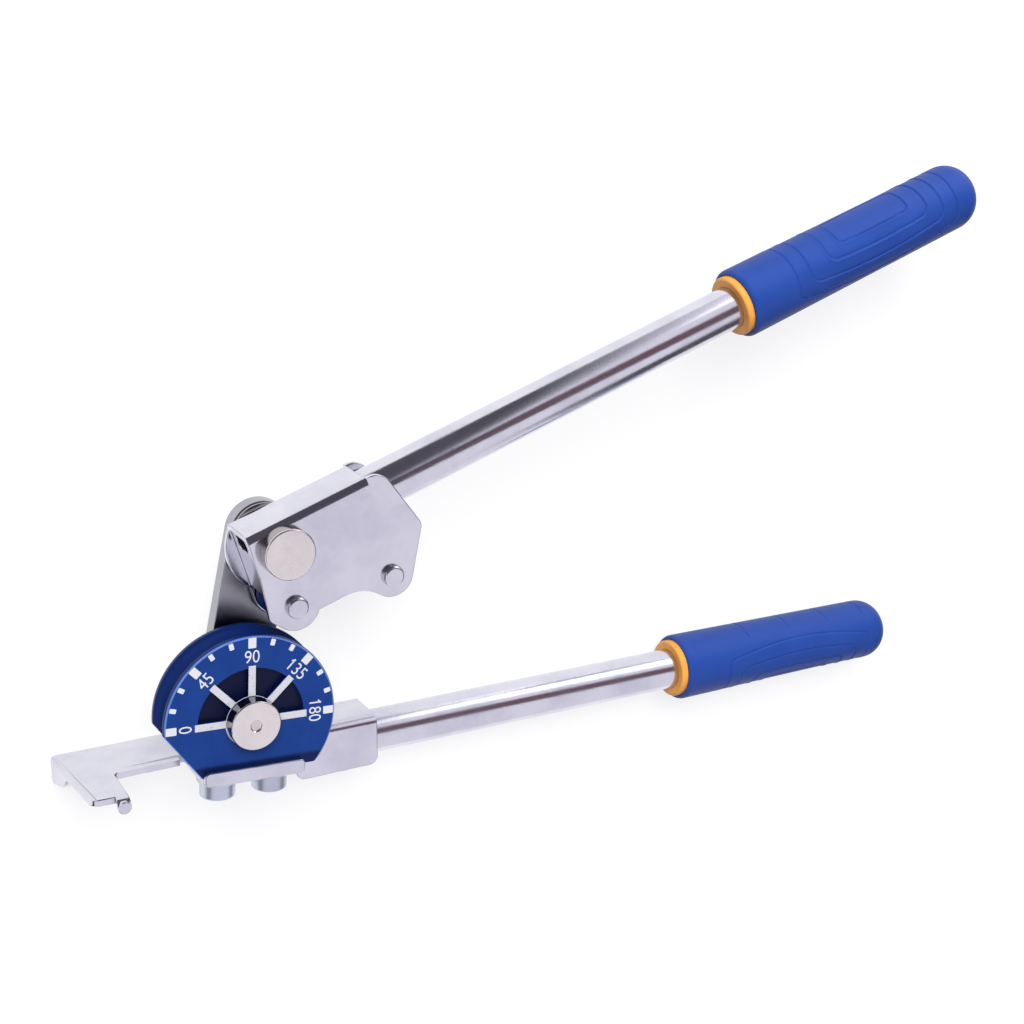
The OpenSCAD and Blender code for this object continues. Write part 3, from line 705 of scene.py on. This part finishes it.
class Bench:
    """Mesh work that the sub-assemblies share.

    Attributes:
        merge: How near two corners are when they become one.
        lifted: How far a corner of an old face may leave the old surface.
        flat_angle: The bend below which two faces become one.
        sharp_angle: The bend above which an edge is shaded sharp.
        broken_angle: The bend above which an edge is rounded.
        segments: The number of faces across a rounded edge.
        tries: How many times rounding may start again with fewer edges.
    """

    merge = 0.002 * MM
    lifted = 0.02 * MM
    flat_angle = math.radians(0.5)
    sharp_angle = math.radians(32.0)
    broken_angle = math.radians(60.0)
    segments = 3
    tries = 8

    def __init__(self, nodes: dict[str, Object]) -> None:
        """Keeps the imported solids, and the pieces as they are made."""
        self.nodes = nodes
        self.made: list[Object] = []

    def copied(self, node: str) -> BMesh:
        """Copies a solid's mesh with its triangles merged.

        Args:
            node: The solid's name.

        Returns:
            The merged copy.
        """
        bm = bmesh.new()
        bm.from_mesh(self.nodes[node].data)
        bmesh.ops.remove_doubles(bm, verts=bm.verts, dist=self.merge)
        bmesh.ops.dissolve_limit(
            bm, angle_limit=self.flat_angle, use_dissolve_boundaries=False,
            verts=bm.verts, edges=bm.edges, delimit=set(),
        )
        return bm

    def rounded(self, bm: BMesh, chosen: set[int], width: float) -> list[BMFace]:
        """Rounds some edges of a mesh.

        Args:
            bm: The mesh.
            chosen: The numbers of the edges.
            width: How wide they are rounded, in metres.

        Returns:
            The new faces.
        """
        bm.edges.ensure_lookup_table()
        made = bmesh.ops.bevel(
            bm, geom=[bm.edges[i] for i in chosen], offset=width, offset_type="OFFSET",
            segments=self.segments, profile=0.5, affect="EDGES", clamp_overlap=False, loop_slide=True,
            material=-1,
        )
        return made["faces"]

    def stray(self, bm: BMesh, rounds: list[BMFace], surface: BVHTree, width: float) -> set[BMVert]:
        """Finds where rounding has thrown a mesh off its old surface, or folded it over.

        Args:
            bm: The rounded mesh.
            rounds: The faces that rounding made.
            surface: The old surface.
            width: How wide the edges are rounded, in metres.

        Returns:
            The corners there and beside them.
        """
        off = {v for v in bm.verts if surface.find_nearest(v.co)[3] > width / 2}
        for face in set(bm.faces) - set(rounds):
            _, normal, _, gap = surface.find_nearest(face.calc_center_median_weighted())
            if gap < self.merge and normal.dot(face.normal) < 0.0:
                off.update(face.verts)
            off.update(v for v in face.verts if surface.find_nearest(v.co)[3] > self.lifted)
        return {other for v in off for e in v.link_edges for other in e.verts}

    def break_edges(self, bm: BMesh, edge: Edge) -> None:
        """Rounds the sharp edges of a mesh, but for the few too tight to take it.

        Args:
            bm: The mesh.
            edge: How wide the edges are broken.
        """
        broken = bm.faces.layers.float.new(EDGE)
        width = edge.value * MM
        bm.verts.index_update()
        bm.edges.index_update()
        bm.verts.ensure_lookup_table()
        surface = BVHTree.FromBMesh(bm)
        corners = KDTree(len(bm.verts))
        for vert in bm.verts:
            corners.insert(vert.co, vert.index)
        corners.balance()
        chosen = {e.index for e in bm.edges if e.is_manifold and e.calc_face_angle() > self.broken_angle}
        for reach in range(self.tries):
            trial = bm.copy()
            tight = self.stray(trial, self.rounded(trial, chosen, width), surface, width)
            near = {corners.find(v.co)[1] for v in tight}
            # Each new try also gives up edges a little farther from the trouble.
            near |= {i for v in tight for _, i, _ in corners.find_range(v.co, reach * width / 2)}
            trial.free()
            if not tight:
                break
            chosen -= {e.index for i in near for e in bm.verts[i].link_edges}
        for face in self.rounded(bm, chosen, width):
            face[broken] = 1.0

    def turned(self, corners: Sequence[Point], step: float, turns: int) -> BMesh:
        """Spins an outline about the X axis.

        Args:
            corners: The outline's corners: place along the axis, radius, and round.
            step: The longest edge along the outline, in millimetres.
            turns: The number of faces round the axis.

        Returns:
            The closed shape, in metres.
        """
        bm = bmesh.new()
        verts = [bm.verts.new((along * MM, 0.0, out * MM)) for along, out, _ in corners]
        for pair in zip(verts, verts[1:]):
            bm.edges.new(pair)
        for vert, (_, _, round_r) in zip(verts, corners):
            if round_r:
                bmesh.ops.bevel(
                    bm, geom=[vert], offset=round_r * MM, offset_type="OFFSET",
                    segments=max(self.segments, int(round_r / step)), profile=0.5, affect="VERTICES",
                    material=-1,
                )
        for line in list(bm.edges):
            cuts = int(line.calc_length() / (step * MM))
            if cuts:
                bmesh.ops.subdivide_edges(bm, edges=[line], cuts=cuts)
        bmesh.ops.spin(
            bm, geom=bm.verts[:] + bm.edges[:], cent=(0.0, 0.0, 0.0), axis=(1.0, 0.0, 0.0),
            dvec=(0.0, 0.0, 0.0), angle=math.tau, steps=turns, use_merge=True,
        )
        bmesh.ops.remove_doubles(bm, verts=bm.verts, dist=self.merge)
        bmesh.ops.recalc_face_normals(bm, faces=bm.faces)
        return bm

    def piece(
        self, name: str, bm: BMesh, finish: Material, body: Body, slot: Slot,
        stands_for: Sequence[str] = (), evened: bool = True,
    ) -> None:
        """Makes a mesh a piece of the part.

        Args:
            name: The piece's name.
            bm: Its mesh, which is used up.
            finish: Its material.
            body: The body that it rides on.
            slot: The record's slot of its finish; not used.
            stands_for: The solids that it replaces.
            evened: Whether its normals follow its larger faces.
        """
        mesh: Mesh = bpy.data.meshes.new(name)
        bm.to_mesh(mesh)
        bm.free()
        mesh.materials.append(finish)
        mesh.polygons.foreach_set("use_smooth", [True] * len(mesh.polygons))
        mesh.set_sharp_from_angle(angle=self.sharp_angle)
        made = bpy.data.objects.new(name, mesh)
        bpy.context.scene.collection.objects.link(made)
        if evened:
            made.modifiers.new("even_normals", "WEIGHTED_NORMAL").keep_sharp = True
        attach(made, body.value)
        if stands_for:
            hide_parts(*stands_for)
        self.made.append(made)
        log.info("%s: %d faces, rides on %s", name, len(mesh.polygons), body.value)

    def finished(self, node: str, finish: Material, body: Body, slot: Slot, edge: Edge) -> None:
        """Makes a piece of a solid, with broken edges and a finish.

        Args:
            node: The solid that it stands for.
            finish: Its material.
            body: The body that it rides on.
            slot: The record's slot of its finish.
            edge: How wide its edges are broken.
        """
        bm = self.copied(node)
        self.break_edges(bm, edge)
        self.piece(f"{node}_made", bm, finish, body, slot, (node,))


@dataclass
class DialWheel:
    """The grooved wheel with its half dial, in its cradle."""

    bench: Bench
    face_z: float = 9.0
    tilt: float = 3.1
    step: int = 15
    numbered: int = 45
    scale_end: int = 180
    print_sunk: float = 0.05
    print_t: float = 0.06
    block: Pair = (3.4, 4.5)
    block_r: float = 34.0
    tick: Pair = (2.0, 2.8)
    tick_r: float = 34.5
    mark_round: float = 0.35
    number_h: float = 5.4
    number_r: float = 28.1
    number_thin: float = -0.003
    upstroke: Pair = (0.26, 0.075)
    upstroke_angle: float = 38.0
    upstroke_h: float = 0.9
    number_w: float = 0.88
    paint: PaintFinish = PaintFinish("dial_print")
    screw: PlatedFinish = PlatedFinish(
        "screw_plate", color=(0.62, 0.65, 0.76), shade=(0.5, 0.53, 0.63), gloss=0.36,
    )

    def at(self, degrees: float, radius: float) -> Matrix:
        """Finds a place on the dial, with its top outwards.

        Args:
            degrees: The dial's angle.
            radius: The distance from the wheel's centre, in millimetres.

        Returns:
            The place, in metres.
        """
        out = math.radians(90.0 - degrees - self.tilt)
        spot = Matrix.Translation((0.0, radius * MM, self.face_z * MM))
        return Matrix.Rotation(out, 4, "Z") @ spot

    def marks(self) -> None:
        """Prints the blocks and ticks round the rim."""
        bm = bmesh.new()
        height = self.print_t + self.print_sunk
        for degrees in range(0, self.scale_end + 1, self.step):
            main = degrees % self.numbered == 0
            wide, long = self.block if main else self.tick
            size = Matrix.Diagonal((wide * MM, long * MM, height * MM, 1.0))
            sunk = Matrix.Translation((0.0, 0.0, (height / 2 - self.print_sunk) * MM))
            place = self.at(degrees, self.block_r if main else self.tick_r)
            bmesh.ops.create_cube(bm, size=1.0, matrix=place @ sunk @ size)
        upright = [e for e in bm.edges if abs(e.verts[0].co.z - e.verts[1].co.z) > self.print_t * MM]
        bmesh.ops.bevel(
            bm, geom=upright, offset=self.mark_round * MM, offset_type="OFFSET",
            segments=self.bench.segments, profile=0.5, affect="EDGES", clamp_overlap=True, material=-1,
        )
        self.bench.piece("dial_marks", bm, self.paint.material(), Body.BASE, Slot.ALLOY)

    def number(self, bm: BMesh, degrees: int) -> None:
        """Prints one number of the dial.

        Args:
            bm: The mesh that takes it.
            degrees: The number and its place.
        """
        curve = bpy.data.curves.new("dial_number", "FONT")
        curve.body = str(degrees)
        curve.align_x = "CENTER"
        # Half a unit to each side makes the number one unit thick.
        curve.extrude = 0.5
        curve.offset = self.number_thin
        flat = bpy.data.objects.new("dial_number", curve)
        bpy.context.scene.collection.objects.link(flat)
        seen = flat.evaluated_get(bpy.context.evaluated_depsgraph_get())
        mesh = bpy.data.meshes.new_from_object(seen)
        low = min(v.co.y for v in mesh.vertices)
        high = max(v.co.y for v in mesh.vertices)
        left = min(v.co.x for v in mesh.vertices)
        right = max(v.co.x for v in mesh.vertices)
        scale = self.number_h * MM / (high - low)
        if curve.body.startswith("1"):
            self.serif(mesh, left, high)
        deep = (self.print_t + self.print_sunk) * MM
        centred = Matrix.Translation((-(left + right) / 2, -(low + high) / 2, 0.0))
        size = Matrix.Diagonal((self.number_w * scale, scale, deep, 1.0))
        lift = Matrix.Translation((0.0, 0.0, deep / 2 - self.print_sunk * MM))
        mesh.transform(self.at(degrees, self.number_r) @ lift @ size @ centred)
        bm.from_mesh(mesh)
        bpy.data.objects.remove(flat)
        bpy.data.curves.remove(curve)
        bpy.data.meshes.remove(mesh)

    def serif(self, mesh: Mesh, left: float, high: float) -> None:
        """Adds the short upstroke of a leading 1.

        Args:
            mesh: The number's mesh, in the font's own size.
            left: The left side of its 1.
            high: Its top.
        """
        bm = bmesh.new()
        bm.from_mesh(mesh)
        long, thick = self.upstroke
        size = Matrix.Diagonal((long, thick, self.upstroke_h, 1.0))
        slope = Matrix.Rotation(math.radians(self.upstroke_angle), 4, "Z")
        inwards = Matrix.Translation((-long / 2, -thick / 2, 0.0))
        corner = Matrix.Translation((left + thick, high, 0.0))
        bmesh.ops.create_cube(bm, size=1.0, matrix=corner @ slope @ inwards @ size)
        bm.to_mesh(mesh)
        bm.free()

    def numbers(self) -> None:
        """Prints the dial's numbers."""
        bm = bmesh.new()
        for degrees in range(0, self.scale_end + 1, self.numbered):
            self.number(bm, degrees)
        bmesh.ops.remove_doubles(bm, verts=bm.verts, dist=self.bench.merge)
        paint = self.paint.material()
        self.bench.piece("dial_numbers", bm, paint, Body.BASE, Slot.ALLOY, evened=False)

    def build(self) -> None:
        """Builds the wheel, its print, its cradle and its screws."""
        bench = self.bench
        dial = DialFinish("wheel_alloy", face_z=self.face_z, tilt=self.tilt).material()
        bench.finished("form_wheel", dial, Body.BASE, Slot.ALLOY, Edge.FINE)
        self.marks()
        self.numbers()
        sheet = PlatedFinish("cradle_plate").material()
        bench.finished("wheel_cradle", sheet, Body.BASE, Slot.SHEET, Edge.SHEARED)
        bench.finished("wheel_screws", self.screw.material(), Body.BASE, Slot.STEEL, Edge.TURNED)


@dataclass
class Pivots:
    """The two pins with their rings, and the link between them."""

    bench: Bench
    wheel_at: Pair = (0.0, 0.0)
    wheel_pin_z: float = 15.5
    lever_at: Pair = (16.186, 72.413)
    lever_pin_z: float = 19.2
    link_angle: float = 77.4
    ring: BrushedFinish = BrushedFinish(
        "ring_steel", color=(0.2, 0.2, 0.22), shade=(0.12, 0.12, 0.14), gloss=0.32,
    )

    def build(self) -> None:
        """Builds the pins, the spacer, the washer, the snap rings and the link."""
        bench = self.bench
        wheel_pin = TurnedFinish("wheel_pin_steel", self.wheel_at, self.wheel_pin_z).material()
        lever_pin = TurnedFinish("lever_pin_steel", self.lever_at, self.lever_pin_z).material()
        bench.finished("pivot_pin", wheel_pin, Body.BASE, Slot.STEEL, Edge.FINE)
        bench.finished("pivot_spacer", wheel_pin, Body.BASE, Slot.STEEL, Edge.TURNED)
        bench.finished("lever_pin", lever_pin, Body.LINK, Slot.STEEL, Edge.FINE)
        bench.finished("lever_washer", lever_pin, Body.LINK, Slot.STEEL, Edge.TURNED)
        ring = self.ring.material()
        bench.finished("pivot_clip", ring, Body.BASE, Slot.SPRING, Edge.FINE)
        bench.finished("lever_clip", ring, Body.LINK, Slot.SPRING, Edge.FINE)
        bar = BrushedFinish("link_steel", turn=self.link_angle).material()
        bench.finished("link_plate", bar, Body.LINK, Slot.STEEL, Edge.SHEARED)


@dataclass
class LeverHead:
    """The folded bracket that carries the rollers on their pins."""

    bench: Bench
    roller: AnodisedFinish = AnodisedFinish(
        "roller_alloy", color=(0.006, 0.02, 0.15), shade=(0.004, 0.012, 0.09),
    )

    def build(self) -> None:
        """Builds the bracket, the roller pins, the washers and the rollers."""
        bench = self.bench
        sheet = PlatedFinish("bracket_plate").material()
        bench.finished("lever_bracket", sheet, Body.LEVER, Slot.SHEET, Edge.SHEARED)
        pins = PlatedFinish("roller_pin_plate", gloss=0.2).material()
        for end in ("front", "rear"):
            bench.finished(f"{end}_roller_pin", pins, Body.LEVER, Slot.STEEL, Edge.FINE)
            bench.finished(f"{end}_washers", pins, Body.LEVER, Slot.STEEL, Edge.FINE)
        alloy = self.roller.material()
        bench.finished("front_roller", alloy, Body.ROLLER_FRONT, Slot.ALLOY, Edge.FINE)
        bench.finished("rear_roller", alloy, Body.ROLLER_REAR, Slot.ALLOY, Edge.FINE)


@dataclass
class FixedFrame:
    """The folded channel that holds the cradle and the fixed handle."""

    bench: Bench

    def build(self) -> None:
        """Builds the channel."""
        sheet = PlatedFinish("channel_plate").material()
        self.bench.finished("body_channel", sheet, Body.BASE, Slot.SHEET, Edge.SHEARED)


@dataclass(frozen=True)
class Panel:
    """One stepped panel of a grip, in millimetres and degrees.

    Attributes:
        front: Its end towards the tube.
        rear: Its other end.
        half_turn: How far it reaches round the grip to each side.
        bow: How much farther it reaches at mid length.
        corner: The radius of its corners.
    """

    front: float
    rear: float
    half_turn: float
    bow: float
    corner: float


@dataclass
class Handle:
    """A tube with its hard sleeve and its moulded grip."""

    bench: Bench
    side: str
    body: Body
    origin: Point
    angle: float
    panel_turn: float
    grip_x: float
    grip_l: float
    grip_r: float = 16.46
    bore_r: float = 14.35
    bore_round: float = 0.4
    front_round: float = 2.4
    dome_r: float = 12.0
    end_t: float = 8.0
    skin_t: float = 0.6
    taper: float = 0.5
    plain_l: float = 20.0
    step_drop: float = 0.1
    foot_depth: float = 0.42
    foot_w: float = 0.4
    ridge_rise: float = 0.2
    ridge_out: float = 1.1
    ridge_w: float = 0.55
    crease_depth: float = 0.4
    crease_w: float = 0.6
    crease_from: float = 124.0
    crease_fade: float = 10.0
    drawn_l: float = 142.5
    mesh_step: float = 0.36
    turns: int = 220
    panels: tuple[Panel, ...] = (
        Panel(26.0, 124.0, 90.0, 19.0, 3.0),
        Panel(34.0, 115.5, 70.0, 11.0, 5.0),
        Panel(46.0, 107.0, 51.0, 4.0, 5.0),
        Panel(54.5, 97.5, 29.0, 2.0, 3.0),
    )
    creases: tuple[float, ...] = (41.5, 70.0, 97.0, 123.0)
    rubber: RubberFinish = RubberFinish("grip_rubber")
    plastic: PlasticFinish = PlasticFinish("sleeve_plastic")

    def place(self) -> Matrix:
        """Gives the handle's line in the frame."""
        turn = Matrix.Rotation(math.radians(self.angle), 4, "Z")
        return Matrix.Translation(Vector(self.origin) * MM) @ turn

    @staticmethod
    def ease(value: float, low: float, high: float) -> float:
        """Runs smoothly from 0 at one value to 1 at another.

        Args:
            value: The value.
            low: The value that gives 0.
            high: The value that gives 1.

        Returns:
            The eased result.
        """
        share = min(1.0, max(0.0, (value - low) / (high - low)))
        return share * share * (3.0 - 2.0 * share)

    def outside(self, panel: Panel, along: float, turn: float) -> float:
        """Measures how far a point lies outside a panel's edge.

        Args:
            panel: The panel.
            along: The point's place along the grip, in millimetres.
            turn: Its angle from the middle of the panels, in degrees.

        Returns:
            The distance in millimetres, negative inside.
        """
        share = min(1.0, max(0.0, (along - panel.front) / (panel.rear - panel.front)))
        reach = panel.half_turn + panel.bow * math.sin(math.pi * share)
        over_l = max(panel.front - along, along - panel.rear) + panel.corner
        over_w = math.radians(abs(turn) - reach) * self.grip_r + panel.corner
        apart = math.hypot(max(over_l, 0.0), max(over_w, 0.0))
        return min(max(over_l, over_w), 0.0) + apart - panel.corner

    def relief(self, along: float, turn: float) -> float:
        """Gives the moulded height of the grip at a point.

        Args:
            along: The point's place from the grip's front, in millimetres.
            turn: Its angle from the middle of the panels, in degrees.

        Returns:
            The height over the plain round grip, in millimetres.
        """
        stretch = (along - self.plain_l) * self.drawn_l / self.grip_l
        drawn = along if along < self.plain_l else self.plain_l + stretch
        height = 0.0
        for panel in self.panels:
            gap = self.outside(panel, drawn, turn)
            height -= self.step_drop * self.ease(-gap, -self.foot_w, self.foot_w)
            height -= self.foot_depth * math.exp(-(gap / self.foot_w) ** 2)
            height += self.ridge_rise * math.exp(-((gap - self.ridge_out) / self.ridge_w) ** 2)
        back = self.ease(abs(turn), self.crease_from, self.crease_from + self.crease_fade)
        for crease in self.creases:
            height -= back * self.crease_depth * math.exp(-((drawn - crease) / self.crease_w) ** 2)
        return min(height, 0.0)

    def grip(self) -> None:
        """Turns the grip and moulds its panels and creases."""
        length = self.grip_l
        bm = self.bench.turned(
            (
                (length - self.end_t, 0.0, 0.0),
                (length - self.end_t, self.bore_r, 0.0),
                (0.0, self.bore_r, self.bore_round),
                (0.0, self.grip_r, self.front_round),
                (length, self.grip_r, self.dome_r),
                (length, 0.0, 0.0),
            ),
            self.mesh_step, self.turns,
        )
        for vert in bm.verts:
            along, side, up = vert.co / MM
            out = math.hypot(side, up)
            dome = length - self.dome_r
            skin = out > self.bore_r + self.skin_t
            if along < self.front_round or not skin and along < length - self.end_t + self.skin_t:
                continue
            lift = 1.0 - self.taper * (along - self.front_round) / length / self.grip_r
            if skin:
                turn = (math.degrees(math.atan2(side, up)) - self.panel_turn + 180.0) % 360.0 - 180.0
                lift += (1.0 - self.ease(along, dome, length)) * self.relief(along, turn) / out
            vert.co.y *= lift
            vert.co.z *= lift
        bm.transform(self.place() @ Matrix.Translation((self.grip_x * MM, 0.0, 0.0)))
        node = f"{self.side}_grip"
        self.bench.piece(
            f"{node}_made", bm, self.rubber.material(), self.body, Slot.RUBBER, (node,), evened=False,
        )

    def build(self) -> None:
        """Builds the tube, the sleeve and the grip."""
        plate = PlatedFinish(
            f"{self.side}_tube_plate", gloss=0.16, haze=0.14, pit_scale=1100.0, pit_depth=0.035,
        ).material()
        self.bench.finished(f"{self.side}_tube", plate, self.body, Slot.TUBE, Edge.FINE)
        hard = self.plastic.material()
        self.bench.finished(f"{self.side}_sleeve", hard, self.body, Slot.PLASTIC, Edge.FINE)
        self.grip()


@dataclass(frozen=True)
class Lamp:
    """A soft square light.

    Attributes:
        name: Its name.
        at: Where it hangs.
        aim: What it points at.
        size: Its side, in metres.
        power: Its power, in watts.
        mirrored: Whether bright metal shows it.
    """

    name: str
    at: Point
    aim: Point
    size: float
    power: float
    mirrored: bool

    def hang(self) -> None:
        """Hangs the light."""
        data = bpy.data.lights.new(self.name, "AREA")
        data.shape = "SQUARE"
        data.size = self.size
        data.energy = self.power
        made = bpy.data.objects.new(self.name, data)
        turn = (Vector(self.at) - Vector(self.aim)).to_track_quat("Z", "Y").to_matrix().to_4x4()
        made.matrix_world = Matrix.Translation(self.at) @ turn
        made.visible_glossy = self.mirrored
        bpy.context.scene.collection.objects.link(made)


@dataclass
class Studio:
    """The floor, the lamps, the dark flags and the camera, in metres."""

    floor_z: float
    camera_at: Point = (-0.1978, 0.2718, 0.5961)
    camera_right: Point = (0.8781, 0.0, 0.4785)
    camera_up: Point = (0.1361, 0.9587, -0.2498)
    camera_roll: float = 0.37
    lens: float = 56.28
    sensor: float = 36.0
    floor_size: float = 12.0
    sky: Color = (0.89, 0.875, 0.94)
    fill: Color = (0.31, 0.31, 0.33)
    dark: Color = (0.09, 0.085, 0.105)
    wall_x: Span = (-0.8, 0.31)
    wall_y: float = 0.46
    wall_top: float = 0.95
    wall_grade: Span = (0.15, 0.31)
    strip_x: Span = (-0.6, 1.8)
    strip_y: Span = (0.0, 0.72)
    strip_z: float = 1.2
    strip_grade: Span = (0.3, 0.65)
    strip_far: Color = (0.18, 0.105, 0.13)
    watch_x: Span = (-0.62, -0.14)
    watch_y: Span = (0.1, 0.58)
    watch_z: float = 0.8
    side_x: float = 0.9
    side_y: Span = (-0.7, 0.38)
    side_top: float = 0.55
    lamps: tuple[Lamp, ...] = (
        Lamp("key", at=(-0.55, 1.75, 2.2), aim=(0.15, 0.05, 0.0), size=1.9, power=130.0, mirrored=False),
        Lamp("window", at=(0.95, 1.3, 0.45), aim=(0.15, 0.0, 0.0), size=0.9, power=3.6, mirrored=True),
    )

    def camera(self) -> None:
        """Places the camera at the picture's viewpoint."""
        data = bpy.data.cameras.new("camera")
        data.lens = self.lens
        data.sensor_width = self.sensor
        made = bpy.data.objects.new("camera", data)
        roll = math.radians(self.camera_roll)
        side, up = Vector(self.camera_right), Vector(self.camera_up)
        right = math.cos(roll) * side + math.sin(roll) * up
        top = math.cos(roll) * up - math.sin(roll) * side
        turn = Matrix((right, top, right.cross(top))).transposed()
        made.matrix_world = Matrix.Translation(self.camera_at) @ turn.to_4x4()
        bpy.context.scene.collection.objects.link(made)
        bpy.context.scene.camera = made

    def plate(self, name: str, low: Point, high: Point, finish: Material) -> Object:
        """Makes a flat stage piece between two corners.

        Args:
            name: Its name.
            low: Its first corner.
            high: Its opposite corner, with one coordinate the same.
            finish: Its material.

        Returns:
            The stage piece.
        """
        bm = bmesh.new()
        first = bm.verts.new(low)
        steps = [(b - a) * axis for a, b, axis in zip(low, high, Matrix.Identity(3)) if a != b]
        line = bmesh.ops.extrude_vert_indiv(bm, verts=[first])
        bmesh.ops.translate(bm, verts=line["verts"], vec=steps[0])
        wide = bmesh.ops.extrude_edge_only(bm, edges=line["edges"])
        bmesh.ops.translate(bm, verts=[v for v in wide["geom"] if isinstance(v, BMVert)], vec=steps[1])
        mesh = bpy.data.meshes.new(name)
        bm.to_mesh(mesh)
        bm.free()
        mesh.materials.append(finish)
        made = bpy.data.objects.new(name, mesh)
        bpy.context.scene.collection.objects.link(made)
        made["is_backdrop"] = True
        return made

    def flag(self, name: str, x: Span, y: Span, z: Span, finish: FlagFinish) -> None:
        """Hangs a cloth that only bright metal shows.

        Args:
            name: Its name.
            x: Its ends along X.
            y: Its ends along Y.
            z: Its ends along Z; along one of the axes both ends are the same.
            finish: Its finish.
        """
        low, high = zip(x, y, z)
        made = self.plate(name, low, high, finish.material())
        made.visible_camera = False
        made.visible_diffuse = False
        made.visible_shadow = False

    def world(self) -> None:
        """Fills the studio with even light, dimmer where it only fills shadows."""
        made = bpy.data.worlds.new("studio")
        tree = Tree("studio", made)
        spread = tree.out(tree.node("ShaderNodeLightPath"), "Is Diffuse Ray")
        even = tree.node("ShaderNodeBackground", {}, {"Color": tree.mix(spread, self.sky, self.fill)})
        tree.node("ShaderNodeOutputWorld", {}, {"Surface": tree.out(even)})
        bpy.context.scene.world = made

    def build(self) -> None:
        """Builds the studio."""
        half = self.floor_size / 2
        floor_z = self.floor_z
        paper = PaperFinish("floor_paper").material()
        floor = self.plate("floor", (-half, -half, floor_z), (half, half, floor_z), paper)
        floor.visible_diffuse = False
        wall = FlagFinish("wall_cloth", self.dark, self.sky, self.wall_grade)
        self.flag("wall_flag", self.wall_x, (self.wall_y, self.wall_y), (floor_z, self.wall_top), wall)
        strip = FlagFinish("strip_cloth", self.dark, self.strip_far, self.strip_grade)
        self.flag("strip_flag", self.strip_x, self.strip_y, (self.strip_z, self.strip_z), strip)
        watch = FlagFinish("watch_cloth", self.dark, self.dark, (0.0, 1.0))
        self.flag("watch_flag", self.watch_x, self.watch_y, (self.watch_z, self.watch_z), watch)
        for name, x in (("left_flag", -self.side_x), ("right_flag", self.side_x)):
            self.flag(name, (x, x), self.side_y, (floor_z, self.side_top), watch)
        for lamp in self.lamps:
            lamp.hang()
        self.world()
        self.camera()
        bpy.context.scene.view_settings.view_transform = "Standard"


def main() -> None:
    """Builds the part and the studio."""
    logging.basicConfig(level=logging.INFO, format="%(name)s: %(relativeCreated)d ms, %(message)s")
    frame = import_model()
    solid = [corner.copy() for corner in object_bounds()]
    bench = Bench(frame["nodes"])
    Studio(floor_z=solid[0].z).build()
    FixedFrame(bench).build()
    DialWheel(bench).build()
    Pivots(bench).build()
    LeverHead(bench).build()
    Handle(
        bench, "lower", Body.BASE, origin=(0.0, -36.8, -34.0), angle=0.0, panel_turn=-75.0,
        grip_x=239.5, grip_l=132.5, taper=1.0,
    ).build()
    Handle(
        bench, "upper", Body.LEVER, origin=(15.6545, 73.9222, 0.0), angle=19.4, panel_turn=65.0,
        grip_x=241.5, grip_l=142.5,
    ).build()
    log.info("%d pieces", len(bench.made))
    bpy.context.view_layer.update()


if __name__ == "__main__":
    main()
